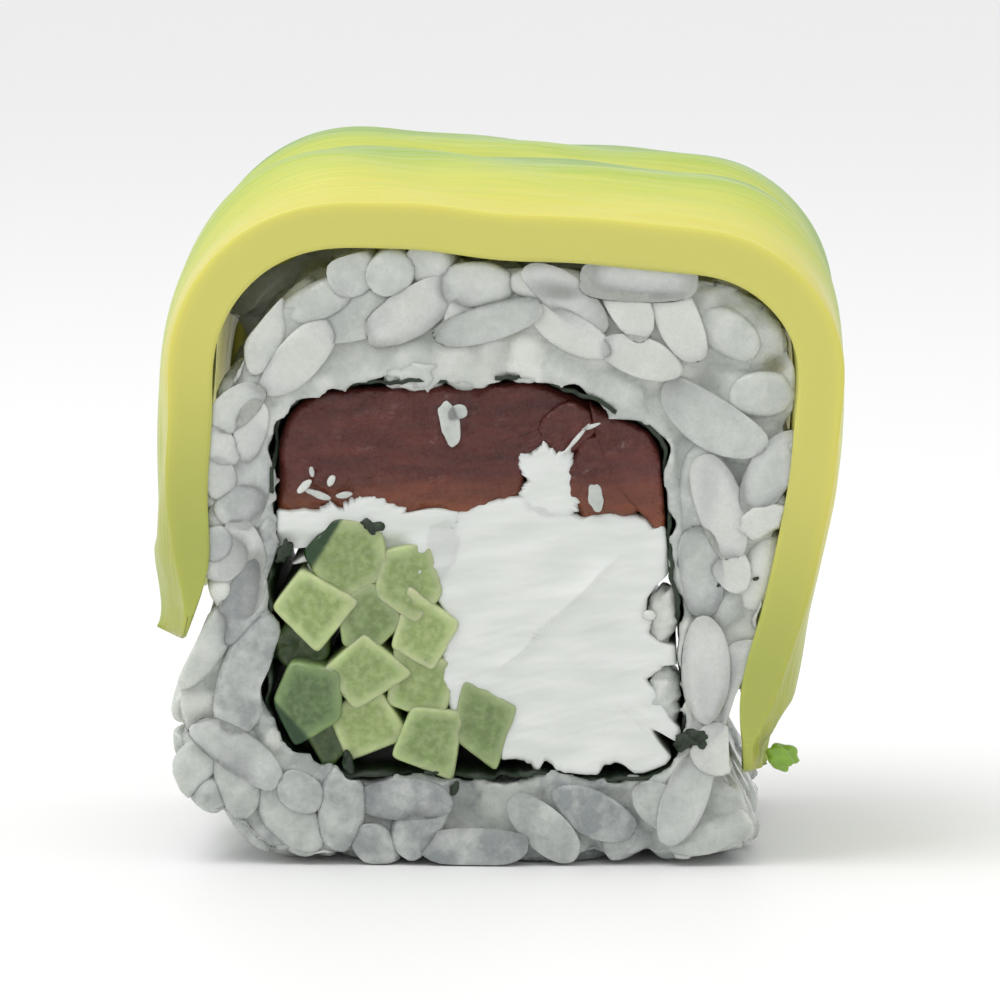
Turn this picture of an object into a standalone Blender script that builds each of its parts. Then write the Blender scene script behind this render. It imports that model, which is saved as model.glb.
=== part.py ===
"""One piece of an inside-out sushi roll (uramaki), standing on its rice with a cut face forward.

A sheet of nori wraps fish, cream cheese and a bundle of cucumber sticks. A thick coat of rice
is pressed round the nori, avocado slices are draped over the rice like shingles, and the roll
is cut across, so that every layer runs from the front cut face to the back one.

The frame: X across the cut face, Y along the roll (the front cut face looks along -Y), Z up,
with the origin under the middle of the piece. Sizes are in millimetres, and the meshes are
made in metres.
"""

import math

import bmesh
import bpy
import numpy as np

MM = 0.001

# Driving dimensions, in millimetres
ROLL_LENGTH = 25.0
FRONT = -ROLL_LENGTH / 2
BACK = ROLL_LENGTH / 2
CLEARANCE = 0.3
NORI_THICKNESS = 0.4

# The middle of the filling, which every outline is star-shaped about: across, up
CORE = np.array([-1.0, 16.5])

# Outlines on the cut face, counterclockwise: across, up, corner radius
RICE_CORNERS = [
    (-12.6, 0.0, 3.0),
    (15.6, 0.0, 3.0),
    (15.8, 3.4, 1.2),
    (13.4, 4.4, 1.0),
    (13.3, 8.2, 4.0),
    (16.3, 22.5, 14.0),
    (16.75, 32.8, 8.4),
    (-15.3, 35.3, 12.0),
    (-15.8, 15.2, 3.0),
    (-18.6, 9.6, 3.0),
    (-18.4, 4.2, 2.0),
]
# The same deeper in, where the rice is pressed in at the sides and fills the upper corners
PRESSED_RICE_CORNERS = [
    (-12.6, 0.0, 3.0),
    (15.6, 0.0, 3.0),
    (15.6, 3.4, 1.2),
    (13.2, 4.6, 1.0),
    (12.2, 9.0, 3.0),
    (13.2, 18.6, 8.0),
    (14.0, 32.8, 7.0),
    (-14.0, 35.1, 7.0),
    (-14.2, 18.0, 3.0),
    (-18.4, 9.6, 3.0),
    (-18.4, 4.2, 2.0),
]
# How far behind the front cut the one outline starts and ends to turn into the other
PRESSED_FROM, PRESSED_TO = 2.0, 7.0

NORI_CORNERS = [
    (-12.8, 5.6, 3.2),
    (10.8, 5.2, 2.4),
    (9.2, 24.6, 1.8),
    (2.6, 27.6, 5.0),
    (-12.1, 27.0, 3.2),
]
WIDE_FISH_CORNERS = [
    (-11.5, 20.1, 1.0),
    (-3.2, 19.5, 6.0),
    (1.3, 21.0, 1.0),
    (1.5, 23.8, 0.6),
    (4.3, 24.7, 0.8),
    (4.6, 25.4, 0.8),
    (1.6, 26.9, 3.0),
    (-9.8, 26.6, 2.4),
    (-11.7, 23.4, 1.8),
]
NARROW_FISH_CORNERS = [
    (4.5, 20.7, 0.8),
    (5.6, 19.3, 0.5),
    (6.6, 20.3, 0.6),
    (8.6, 20.5, 0.6),
    (8.6, 23.9, 1.0),
    (6.1, 24.8, 0.8),
    (4.7, 23.6, 0.8),
]
CHEESE_CORNERS = [
    (0.2, 5.9, 0.4),
    (10.3, 5.6, 1.8),
    (9.2, 20.1, 0.8),
    (6.9, 19.9, 0.4),
    (5.6, 18.8, 0.4),
    (4.0, 20.3, 0.5),
    (4.1, 24.2, 0.5),
    (1.9, 23.5, 0.5),
    (1.7, 20.6, 0.8),
    (-3.2, 19.1, 4.0),
    (-11.5, 19.7, 0.5),
    (-12.0, 17.3, 0.5),
    (-10.6, 17.1, 0.5),
    (-10.1, 19.3, 0.4),
    (-6.7, 19.3, 0.4),
    (-6.3, 18.1, 0.4),
    (-3.2, 18.3, 0.8),
    (-2.2, 14.2, 0.5),
    (-2.3, 10.2, 0.4),
    (1.0, 10.2, 0.8),
    (1.1, 6.9, 0.8),
]

# Cucumber sticks on the cut face: across, up, width, height, turn in degrees, and how far
# their front ends lie behind the cut face
STICKS = [
    (-8.35, 17.55, 2.9, 2.9, 38.0, 0.1),
    (-4.90, 16.30, 2.6, 2.8, 52.0, 0.0),
    (-10.40, 14.80, 2.8, 2.6, 12.0, 0.0),
    (-7.15, 14.05, 2.7, 2.5, 4.0, 0.1),
    (-4.05, 13.35, 2.1, 2.5, 62.0, 0.0),
    (-11.00, 12.25, 2.0, 1.9, 35.0, 2.2),
    (-7.40, 11.25, 2.8, 2.6, 3.0, 0.0),
    (-4.25, 10.45, 2.6, 2.7, -8.0, 0.2),
    (-10.65, 9.55, 2.7, 2.7, 20.0, 0.0),
    (-7.25, 8.25, 2.7, 2.5, 12.0, 0.4),
    (-3.65, 7.35, 2.7, 2.4, 8.0, 0.0),
    (-0.65, 8.25, 2.3, 2.4, 70.0, 0.1),
    (-9.50, 7.00, 1.5, 1.5, 30.0, 1.6),
]
STICK_ROUNDING = 0.3

# The line that the undersides of the avocado slices follow over the rice, from the lower
# left end over the top to the lower right end: across, up, corner radius
DRAPE_CORNERS = [
    (-17.7, 12.7, 0.0),
    (-16.2, 17.2, 6.0),
    (-15.8, 35.7, 7.6),
    (17.1, 33.1, 8.4),
    (16.7, 22.5, 16.0),
    (13.8, 9.0, 8.0),
    (14.3, 5.2, 0.0),
]

# An avocado slice across its width, from the seed side at the front to the skin side at the
# back, where it climbs onto the next slice. Towards its two ends it gets narrow and thin
SLICE_WIDTH = 16.0
SLICE_PITCH = 12.0
FIRST_MIDDLE = -9.5
SEED_EDGE = 1.0
SLICE_THICKNESS = 2.7
FULL_THICKNESS_FROM = 6.0
SKIN_EDGE_ROUND = 1.4
CLIMB_STARTS, CLIMB_ENDS = 4.0, 11.0
TIP_WIDTH_SHARE = 0.4
TAPER_LENGTH = 5.0
TIP_THICKNESS_SHARE = 0.4

# Pressing evens the slices out at the sides: there the skin edges stand out by this much, left
# and right, on the first slice and on the others, which are tucked into the rice to do so
FIRST_FLARE = (0.5, 0.15)
TUCKED_FLARE = (0.4, 0.0)
SIDE_CLIMB = 2.05
# A slice is tucked in only where it is wide enough to lie under its neighbour: the share of
# its full width where this starts, and where it is complete
TUCK_FROM_WIDTH, TUCK_FULL_WIDTH = 0.62, 0.87

# Of each slice: name, how high it climbs on top, whether it is tucked in at the sides, and
# how much of the drape line it leaves bare at the left and at the right end
SLICES = [
    ("avocado_front", 2.6, False, 0.0, 0.0),
    ("avocado_middle", 3.0, True, 1.5, 3.0),
    ("avocado_back", 2.6, True, 0.5, 4.5),
]

# Plain colours: red, green, blue, roughness
COLOURS = {
    "rice": (0.80, 0.82, 0.78, 0.45),
    "nori": (0.02, 0.03, 0.02, 0.70),
    "fish": (0.28, 0.09, 0.06, 0.35),
    "cream_cheese": (0.86, 0.88, 0.84, 0.55),
    "cucumber": (0.36, 0.52, 0.22, 0.35),
    "avocado": (0.72, 0.75, 0.22, 0.45),
}


def material(name):
    """The plain material of a kind of food."""
    made = bpy.data.materials.get(name) or bpy.data.materials.new(name)
    made.use_nodes = True
    red, green, blue, roughness = COLOURS[name]
    shader = made.node_tree.nodes["Principled BSDF"]
    shader.inputs["Base Color"].default_value = (red, green, blue, 1.0)
    shader.inputs["Roughness"].default_value = roughness
    shader.inputs["Metallic"].default_value = 0.0
    return made


def smooth(value):
    """A climb from 0 to 1 with level ends, for a value that runs from 0 to 1."""
    value = np.clip(value, 0.0, 1.0)
    return value * value * (3.0 - 2.0 * value)


def fillet(before, corner, after, radius, steps):
    """Points on the arc that rounds a corner."""
    back = before - corner
    ahead = after - corner
    back_length, ahead_length = np.linalg.norm(back), np.linalg.norm(ahead)
    back, ahead = back / back_length, ahead / ahead_length
    half = math.acos(float(np.clip(back @ ahead, -1.0, 1.0))) / 2
    reach = min(radius / math.tan(half), 0.49 * back_length, 0.49 * ahead_length)
    radius = reach * math.tan(half)
    bisector = (back + ahead) / np.linalg.norm(back + ahead)
    centre = corner + bisector * radius / math.sin(half)
    start, end = corner + back * reach - centre, corner + ahead * reach - centre
    sweep = math.pi - 2 * half
    share = np.linspace(0.0, 1.0, steps)[:, None]
    arc = np.sin((1 - share) * sweep) * start + np.sin(share * sweep) * end
    return centre + arc / math.sin(sweep)


def closed_outline(corners, steps=5):
    """A closed outline through rounded corners."""
    points = np.array([corner[:2] for corner in corners], float)
    rows = [
        fillet(points[i - 1], points[i], points[(i + 1) % len(points)], corners[i][2], steps)
        for i in range(len(points))
    ]
    return np.vstack(rows)


def open_line(corners, steps=8):
    """An open line through rounded corners, which keeps its two end points."""
    points = np.array([corner[:2] for corner in corners], float)
    rows = [
        fillet(points[i - 1], points[i], points[i + 1], corners[i][2], steps)
        for i in range(1, len(points) - 1)
    ]
    return np.vstack([points[:1], *rows, points[-1:]])


def reach_at(outline, angles):
    """How far an outline lies from CORE in each direction: rays against its edges."""
    start = outline - CORE
    edge = np.roll(start, -1, axis=0) - start
    ray = np.stack([np.cos(angles), np.sin(angles)], axis=1)[:, None]
    cross = ray[..., 0] * edge[:, 1] - ray[..., 1] * edge[:, 0]
    cross = np.where(np.abs(cross) < 1e-12, 1e-12, cross)
    along_ray = (start[:, 0] * edge[:, 1] - start[:, 1] * edge[:, 0]) / cross
    along_edge = (start[:, 0] * ray[..., 1] - start[:, 1] * ray[..., 0]) / cross
    hits = (along_ray > 0) & (along_edge >= -1e-9) & (along_edge <= 1 + 1e-9)
    return np.where(hits, along_ray, 0.0).max(axis=1)


def polar_ring(reach, angles, along):
    """Points at a reach from CORE in each direction, at a place along the roll."""
    across = CORE[0] + reach * np.cos(angles)
    up = CORE[1] + reach * np.sin(angles)
    up = np.where(np.abs(up) < 1e-6, 0.0, up)
    return np.stack([across, np.broadcast_to(along, up.shape), up], axis=1)


def add_object(name, mesh_builder, kind):
    """A named, smooth-shaded object from a bmesh, with its material."""
    bmesh.ops.recalc_face_normals(mesh_builder, faces=mesh_builder.faces)
    mesh = bpy.data.meshes.new(name)
    mesh_builder.to_mesh(mesh)
    mesh_builder.free()
    mesh.shade_smooth()
    mesh.set_sharp_from_angle(angle=math.radians(40))
    mesh.materials.append(material(kind))
    made = bpy.data.objects.new(name, mesh)
    bpy.context.scene.collection.objects.link(made)
    return made


def loft(name, rings, kind, wraps):
    """A skin over rings of points, each joined to the next, which closes on itself or is capped."""
    builder = bmesh.new()
    loops = [[builder.verts.new(point * MM) for point in ring] for ring in rings]
    pairs = list(zip(loops, loops[1:]))
    if wraps:
        pairs.append((loops[-1], loops[0]))
    for first, second in pairs:
        for i, corner in enumerate(first):
            builder.faces.new((first[i - 1], corner, second[i], second[i - 1]))
    if not wraps:
        builder.faces.new(loops[0])
        builder.faces.new(loops[-1])
    return add_object(name, builder, kind)


def bar(name, outline, front, back, kind):
    """A bar along the roll with one outline: a face on the cut, extruded backwards."""
    builder = bmesh.new()
    corners = [builder.verts.new((x * MM, front * MM, z * MM)) for x, z in outline]
    face = builder.faces.new(corners)
    extruded = bmesh.ops.extrude_face_region(builder, geom=[face])["geom"]
    moved = [item for item in extruded if isinstance(item, bmesh.types.BMVert)]
    bmesh.ops.translate(builder, verts=moved, vec=(0.0, (back - front) * MM, 0.0))
    return add_object(name, builder, kind)


def make_rice():
    """The coat of rice: a ring round the nori, lumpy on its sides and cut faces, flat below."""
    angles = np.linspace(0.0, math.tau, 96, endpoint=False)
    outer = reach_at(closed_outline(RICE_CORNERS), angles)
    pressed = reach_at(closed_outline(PRESSED_RICE_CORNERS), angles)
    inner = reach_at(closed_outline(NORI_CORNERS), angles) + NORI_THICKNESS + CLEARANCE
    foot = CORE[1] + outer * np.sin(angles) < 0.01
    side_dent, face_dent = 0.2, 0.25

    def dent(along, share):
        """Gentle hollows, by waves round the ring and along the roll."""
        wave = np.sin(9 * angles + 0.8 * along) * np.cos(4 * angles - 0.5 * along + 3 * share)
        return np.where(foot, 0.0, 0.5 + 0.5 * wave)

    def outside(along):
        """The outer reach at a place along the roll, with its hollows."""
        share = smooth((along - FRONT - PRESSED_FROM) / (PRESSED_TO - PRESSED_FROM))
        return outer + (pressed - outer) * share - side_dent * dent(along, 0.0)

    def face_ring(share, along):
        inwards = -np.sign(along)
        reach = inner + (outside(along) - inner) * share
        shift = face_dent * dent(along, share) * math.sin(math.pi * share)
        return polar_ring(reach, angles, along + inwards * shift)

    shares = np.linspace(0.0, 1.0, 5)
    lengths = np.linspace(FRONT, BACK, 10)
    rings = [face_ring(share, FRONT) for share in shares]
    rings += [polar_ring(outside(y), angles, y) for y in lengths[1:-1]]
    rings += [face_ring(share, BACK) for share in shares[::-1]]
    rings += [polar_ring(inner, angles, y) for y in lengths[1:-1:3][::-1]]
    loft("rice", rings, "rice", wraps=True)


def make_nori():
    """The sheet of nori: a thin tube between the filling and the rice."""
    angles = np.linspace(0.0, math.tau, 72, endpoint=False)
    inside = reach_at(closed_outline(NORI_CORNERS), angles)
    outside = inside + NORI_THICKNESS
    margin = 0.1
    ends = (FRONT + margin, BACK - margin)
    rings = [polar_ring(inside, angles, y) for y in ends]
    rings += [polar_ring(outside, angles, y) for y in ends[::-1]]
    loft("nori", rings, "nori", wraps=True)


def make_fish():
    """Two strips of fish under the top of the nori."""
    for name, corners in (("fish_wide", WIDE_FISH_CORNERS), ("fish_narrow", NARROW_FISH_CORNERS)):
        strip = bar(name, closed_outline(corners, 6), FRONT, BACK, "fish")
        rounding = strip.modifiers.new("rounded ends", "BEVEL")
        rounding.width = 0.25 * MM
        rounding.angle_limit = math.radians(60)


def make_cheese():
    """The bar of cream cheese, moulded to the fish above it and to the cucumber beside it."""
    bar("cream_cheese", closed_outline(CHEESE_CORNERS, 4), FRONT, BACK, "cream_cheese")


def make_cucumber():
    """The bundle of cucumber sticks, each a four-sided bar with rounded edges."""
    for number, (across, up, width, height, turn, recess) in enumerate(STICKS, start=1):
        cosine, sine = math.cos(math.radians(turn)), math.sin(math.radians(turn))
        corners = [
            (
                across + sx * width / 2 * cosine - sz * height / 2 * sine,
                up + sx * width / 2 * sine + sz * height / 2 * cosine,
                STICK_ROUNDING * min(width, height),
            )
            for sx, sz in ((-1, -1), (1, -1), (1, 1), (-1, 1))
        ]
        name = f"cucumber_stick_{number:02d}"
        bar(name, closed_outline(corners, 4), FRONT + recess, BACK - recess / 2, "cucumber")


def across_slice(middle, width_share):
    """A slice across its width at one place: places along the roll, climb share, thickness."""
    half = SLICE_WIDTH / 2 * width_share
    start, end = max(middle - half, FRONT), min(middle + half, BACK)
    along = np.linspace(start, end, 9)
    if end < BACK:
        edge = SKIN_EDGE_ROUND * width_share
        along = np.append(np.linspace(start, end - edge, 7), [end - 0.35 * edge, end])
    from_seed_side = SLICE_WIDTH / 2 + (along - middle) / width_share
    climb = smooth((from_seed_side - CLIMB_STARTS) / (CLIMB_ENDS - CLIMB_STARTS))
    thick = SEED_EDGE + (SLICE_THICKNESS - SEED_EDGE) * smooth(from_seed_side / FULL_THICKNESS_FROM)
    into_edge = (from_seed_side - SLICE_WIDTH + SKIN_EDGE_ROUND) / SKIN_EDGE_ROUND
    rounded = thick * np.sqrt(1.0 - np.clip(into_edge, 0.0, 0.95) ** 2)
    return along, climb, (thick - rounded) / 2, rounded


def make_avocado():
    """The avocado slices: bands over the rice, each with its skin edge on the next one."""
    line = open_line(DRAPE_CORNERS)
    steps = np.linalg.norm(np.diff(line, axis=0), axis=1)
    length = np.concatenate([[0.0], np.cumsum(steps)])
    for number, (name, top_climb, tucked, left_bare, right_bare) in enumerate(SLICES):
        stations = np.linspace(left_bare, length[-1] - right_bare, 36)
        places = np.stack([np.interp(stations, length, line[:, i]) for i in (0, 1)], axis=1)
        heading = np.gradient(places, axis=0)
        heading /= np.linalg.norm(heading, axis=1)[:, None]
        outwards = np.stack([-heading[:, 1], heading[:, 0]], axis=1)
        from_middle = 2 * stations / length[-1] - 1
        width_share = np.maximum(np.sqrt(np.maximum(1 - from_middle**4, 0)), TIP_WIDTH_SHARE)
        from_end = np.minimum(stations - stations[0], stations[-1] - stations)
        taper = TIP_THICKNESS_SHARE + (1 - TIP_THICKNESS_SHARE) * smooth(from_end / TAPER_LENGTH)
        on_top = np.clip(outwards[:, 1], 0.0, 1.0) ** 2
        flare = np.where(outwards[:, 0] < 0, *(TUCKED_FLARE if tucked else FIRST_FLARE))
        wide = (width_share - TUCK_FROM_WIDTH) / (TUCK_FULL_WIDTH - TUCK_FROM_WIDTH)
        tuck = tucked * (SIDE_CLIMB - flare) * smooth(wide)
        climb = flare + tuck + (top_climb - flare - tuck) * on_top
        tuck = tuck * (1 - on_top)
        middle = FIRST_MIDDLE + number * SLICE_PITCH
        rings = []
        for k in range(len(stations)):
            along, climbed, inset, thick = across_slice(middle, width_share[k])
            under = climb[k] * climbed - tuck[k] + inset * taper[k]
            lift = np.concatenate([under, (under + thick * taper[k])[::-1]])
            across = places[k, 0] + outwards[k, 0] * lift
            up = places[k, 1] + outwards[k, 1] * lift
            rings.append(np.stack([across, np.concatenate([along, along[::-1]]), up], axis=1))
        loft(name, rings, "avocado", wraps=False)


for old in list(bpy.data.objects):
    bpy.data.objects.remove(old)
make_rice()
make_nori()
make_fish()
make_cheese()
make_cucumber()
make_avocado()
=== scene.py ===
"""One piece of an inside-out sushi roll, put together from the filling outwards.

Fish, cream cheese and cucumber lie in a tube of nori, pressed rice grains lie round it, and
avocado slices lie over the rice. Lengths are in millimetres until a mesh is made.
"""

import math

import bpy
import numpy as np
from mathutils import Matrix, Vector
from mathutils.bvhtree import BVHTree
from mathutils.kdtree import KDTree


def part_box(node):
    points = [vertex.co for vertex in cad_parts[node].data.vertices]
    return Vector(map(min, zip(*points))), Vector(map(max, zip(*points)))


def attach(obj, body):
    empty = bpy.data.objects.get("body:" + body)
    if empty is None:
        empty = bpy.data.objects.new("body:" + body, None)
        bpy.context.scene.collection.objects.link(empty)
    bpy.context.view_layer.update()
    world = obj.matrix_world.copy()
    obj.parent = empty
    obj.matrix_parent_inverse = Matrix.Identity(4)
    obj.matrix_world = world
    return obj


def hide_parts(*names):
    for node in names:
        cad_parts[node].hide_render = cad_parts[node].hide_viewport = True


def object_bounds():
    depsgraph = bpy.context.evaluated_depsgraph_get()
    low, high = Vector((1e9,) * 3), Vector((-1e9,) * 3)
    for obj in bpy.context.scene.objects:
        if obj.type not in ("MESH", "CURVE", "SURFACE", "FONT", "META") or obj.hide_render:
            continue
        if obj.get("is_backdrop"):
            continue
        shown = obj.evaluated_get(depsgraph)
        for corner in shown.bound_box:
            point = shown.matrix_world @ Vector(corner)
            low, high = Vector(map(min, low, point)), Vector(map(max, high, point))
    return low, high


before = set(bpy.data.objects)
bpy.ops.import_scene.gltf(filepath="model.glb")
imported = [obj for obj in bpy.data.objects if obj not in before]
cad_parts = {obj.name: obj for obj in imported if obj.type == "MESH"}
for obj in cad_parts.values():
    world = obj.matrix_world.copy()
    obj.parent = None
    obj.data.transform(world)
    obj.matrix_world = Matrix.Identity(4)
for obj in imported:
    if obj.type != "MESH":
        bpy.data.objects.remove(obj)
cad_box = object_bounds()

MM = 0.001
for old in [o for o in bpy.data.objects if o.type in ("LIGHT", "CAMERA")]:
    bpy.data.objects.remove(old)


# ---------------------------------------------------------------- nori
# One sheet of pressed seaweed, rolled round the filling. It soaks up water from the rice, so it
# turns soft and near-black, and at the cut it shows as a thin crumpled line that the knife has
# dragged in some places and that rice and cheese hide in others.

FRONT, BACK = (corner.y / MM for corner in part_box("rice"))
CORE = np.array([-1.0, 16.5])  # the point across and up that the ring of rice is built round
TURN = math.tau


def corners_of(mesh):
    """The corners of a mesh, one row each, in the mesh's own units."""
    rows = np.empty(3 * len(mesh.vertices), np.float32)
    mesh.vertices.foreach_get("co", rows)
    return rows.reshape(-1, 3).astype(float)


def reach_of(node, centre, widest=True):
    """A node's outline as a function: its reach from a centre at any angle round the roll.

    The farthest (or nearest) corner in each direction that has one, joined by straight lines.
    """
    from_centre = corners_of(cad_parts[node].data)[:, (0, 2)] / MM - centre
    reach = np.hypot(*from_centre.T)
    angle, place = np.unique(
        np.round(np.arctan2(from_centre[:, 1], from_centre[:, 0]), 3), return_inverse=True
    )
    found = np.full(len(angle), 0.0 if widest else 1e9)
    (np.maximum if widest else np.minimum).at(found, place, reach)
    return lambda at: np.interp(at, angle, found, period=TURN)


def smooth(value):
    """A climb from 0 to 1 with level ends, for a value that runs from 0 to 1."""
    value = np.clip(value, 0.0, 1.0)
    return value * value * (3.0 - 2.0 * value)


def ripple(points, size, seed, waves=26):
    """Smooth noise of about -1 to 1: the sum of plane waves, about `size` long, in random directions."""
    chance = np.random.default_rng(seed)
    ways = chance.normal(size=(waves, points.shape[-1]))
    ways *= (TURN / size * chance.uniform(0.6, 1.5, waves) / np.linalg.norm(ways, axis=1))[:, None]
    sums = np.cos(points @ ways.T + chance.uniform(0, TURN, waves)).sum(axis=-1)
    return sums * math.sqrt(1.0 / waves)


def once_round(count):
    """Evenly spaced angles of one turn, in a row."""
    return np.linspace(0, TURN, count, endpoint=False)[None]


def circle(angle, radius):
    """Points of a circle, across and up: noise that is read there joins up after a turn."""
    return np.stack([radius * np.cos(angle), radius * np.sin(angle)], axis=-1)


def around(centre, reach, angle, along):
    """Points round the roll: a centre across and up, a reach at each angle, a place along the roll."""
    across = centre[0] + reach * np.cos(angle)
    up = centre[1] + reach * np.sin(angle)
    return np.stack(np.broadcast_arrays(across, along, up), axis=-1)


def link(name, data):
    """A new object in the scene, round a mesh, a lamp or a camera."""
    made = bpy.data.objects.new(name, data)
    bpy.context.scene.collection.objects.link(made)
    return made


def set_values(mesh, key, numbers):
    """One number for each corner of a mesh, kept as a named attribute."""
    attribute = mesh.attributes.new(key, "FLOAT", "POINT")
    attribute.data.foreach_set("value", np.asarray(numbers, np.float32).ravel())


def make_solid(name, points, faces, values=None, uv=None):
    """A smooth mesh object from rows of millimetres, turned right side out by its signed volume.

    values holds one number per corner for each named attribute, and uv one pair per corner.
    """
    faces = [np.asarray(group) for group in faces]
    volume = 0.0
    for group in faces:
        for i in range(2, group.shape[1]):
            a, b, c = (points[group[:, k]] for k in (0, i - 1, i))
            volume += np.einsum("ij,ij->i", a, np.cross(b, c)).sum()
    if volume < 0:
        faces = [group[:, ::-1] for group in faces]
    mesh = bpy.data.meshes.new(name)
    mesh.from_pydata(points * MM, [], [row for group in faces for row in group.tolist()])
    for key, numbers in (values or {}).items():
        set_values(mesh, key, numbers)
    if uv is not None:
        corners = np.concatenate([group.ravel() for group in faces])
        layer = mesh.uv_layers.new(name="slice")
        layer.data.foreach_set("uv", np.asarray(uv, np.float32)[corners].ravel())
    mesh.shade_smooth()
    return link(name, mesh)


def skin_faces(rows, columns, wrap):
    """Quads over a grid whose rows run round. wrap joins the last row to the first one."""
    row = np.arange(rows if wrap else rows - 1)[:, None]
    column = np.arange(columns)[None]
    after_row, after = (row + 1) % rows, (column + 1) % columns
    corners = [row * columns + column, row * columns + after]
    corners += [after_row * columns + after, after_row * columns + column]
    return np.stack([np.broadcast_to(c, (len(row), columns)).ravel() for c in corners], axis=1)


def make_skin(name, grid, wrap=False, values=None, uv=None):
    """A closed skin over a grid of points: rows that run round, with the ends fanned to a middle."""
    rows, columns = grid.shape[:2]
    points = grid.reshape(-1, 3)
    faces = [skin_faces(rows, columns, wrap)]
    if not wrap:
        column = np.arange(columns)
        after = (column + 1) % columns
        first, last = len(points), len(points) + 1
        points = np.vstack([points, grid[0].mean(axis=0), grid[-1].mean(axis=0)])
        low, high = column, column + (rows - 1) * columns
        faces.append(np.stack([after, low, np.full(columns, first)], axis=1))
        ends = np.stack([high, after + (rows - 1) * columns, np.full(columns, last)], axis=1)
        faces.append(ends)
        values = {
            key: np.append(value.ravel(), [value[0].mean(), value[-1].mean()])
            for key, value in (values or {}).items()
        }
        if uv is not None:
            uv = np.vstack([uv.reshape(-1, 2), uv[0].mean(axis=0), uv[-1].mean(axis=0)])
    elif uv is not None:
        uv = uv.reshape(-1, 2)
    return make_solid(name, points, faces, values, uv)


def new_material(name, roughness, **constants):
    """A material with only a Principled shader, whose constant sockets are set by name."""
    made = bpy.data.materials.new(name)
    made.use_nodes = True
    shader = made.node_tree.nodes["Principled BSDF"]
    shader.inputs["Roughness"].default_value = roughness
    for key, value in constants.items():
        shader.inputs[key.replace("_", " ")].default_value = value
    return made, made.node_tree, shader


def add_node(tree, kind, inputs=None, **settings):
    """A node with its settings, and with inputs that are either values or sockets to link."""
    node = tree.nodes.new("ShaderNode" + kind)
    for key, value in settings.items():
        setattr(node, key, value)
    for key, value in (inputs or {}).items():
        if isinstance(value, bpy.types.NodeSocket):
            tree.links.new(value, node.inputs[key])
        else:
            node.inputs[key].default_value = value
    return node


def ramp(tree, source, stops):
    """The colours of a ramp over a value: each stop is a place and a colour."""
    node = add_node(tree, "ValToRGB", {"Fac": source})
    elements = node.color_ramp.elements
    while len(elements) < len(stops):
        elements.new(0.5)
    for element, (place, colour) in zip(elements, stops):
        element.position = place
        element.color = (*colour, 1.0)
    return node.outputs["Color"]


def mixed(tree, share, first, second):
    """Two colours mixed by a share, each a socket or a plain colour."""
    first, second = (
        c if isinstance(c, bpy.types.NodeSocket) else (*c, 1.0) for c in (first, second)
    )
    inputs = {0: share, 6: first, 7: second}
    return add_node(tree, "Mix", inputs, data_type="RGBA", clamp_factor=True).outputs[2]


def attribute(tree, key):
    """A number that the mesh keeps at its corners, read by name."""
    return add_node(tree, "Attribute", attribute_name=key).outputs["Fac"]


def remap(tree, value, start, end, low, high):
    """A value carried over from the span start to end to the span low to high, and held there."""
    return add_node(tree, "MapRange", {0: value, 1: start, 2: end, 3: low, 4: high}).outputs[0]


def noise(tree, scale, detail=3.0, stretch=(1, 1, 1), rough=0.5):
    """Noise on object coordinates, of about `scale` lumps in a millimetre, stretched along axes."""
    where = add_node(tree, "TexCoord").outputs["Object"]
    size = tuple(scale / MM / s for s in stretch)
    mapping = add_node(tree, "Mapping", {"Vector": where, "Scale": size})
    inputs = {"Vector": mapping.outputs[0], "Scale": 1.0, "Detail": detail, "Roughness": rough}
    return add_node(tree, "TexNoise", inputs).outputs["Fac"]


def dress(tree, shader, colour, height, depth):
    """Colour and relief for a shader: a height from 0 to 1 that stands for `depth` millimetres."""
    tree.links.new(colour, shader.inputs["Base Color"])
    inputs = {"Height": height, "Distance": depth * MM}
    tree.links.new(add_node(tree, "Bump", inputs).outputs[0], shader.inputs["Normal"])


def place(piece, material, slot, *nodes):
    """Gives a finished piece its material, its body and the CAD nodes it stands for. The slot is not
    used.
    """
    piece.data.materials.append(material)
    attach(piece, "root")
    if nodes:
        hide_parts(*nodes)


NORI_THICKNESS = 0.24
NORI_BACK_OFF = 0.55  # how far back the knife has pushed the sheet's edge on average

nori_reach = reach_of("nori", CORE)
angle = once_round(360)
share = np.linspace(0, 1, 5)[:, None]
edges = []
for end, seed in ((FRONT, 5), (BACK, 4)):
    wave = ripple(circle(angle, 6), 1.6, seed)
    edges.append(end - np.sign(end) * np.clip(NORI_BACK_OFF + 0.5 * wave, 0.05, 1.6))
along = edges[0] + (edges[1] - edges[0]) * share
crumple = around((0, 0), 9, angle, along)[..., (1, 0, 2)]
outer = nori_reach(angle) + 0.16 * ripple(crumple, 2.0, 5) + 0.06 * ripple(crumple, 0.8, 6)
rings = [around(CORE, outer, angle, along)]
rings.append(around(CORE, outer[::-1] - NORI_THICKNESS, angle, along[::-1]))
nori = make_skin("nori_sheet", np.concatenate(rings), wrap=True)

nori_finish, tree, shader = new_material("damp seaweed", 0.5)
fleck = noise(tree, 2.2, 4.0, rough=0.7)
shade = ramp(tree, fleck, [(0.3, (0.004, 0.008, 0.005)), (0.7, (0.020, 0.042, 0.016))])
dress(tree, shader, shade, fleck, 0.12)
place(nori, nori_finish, "nori", "nori")


# ---------------------------------------------------------------- fish
# Two strips of cured fish under the top of the roll. The knife leaves a wet, slightly domed face
# on them that is dark brownish red, with fine fibres and a warmer colour along the lower edge.

FISH_ROUNDING = 0.55
ENDS = (FRONT, BACK)
BRIDGE = np.array([4.1, 24.9])  # the middle of the thin cord between the strips, across and up


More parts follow.
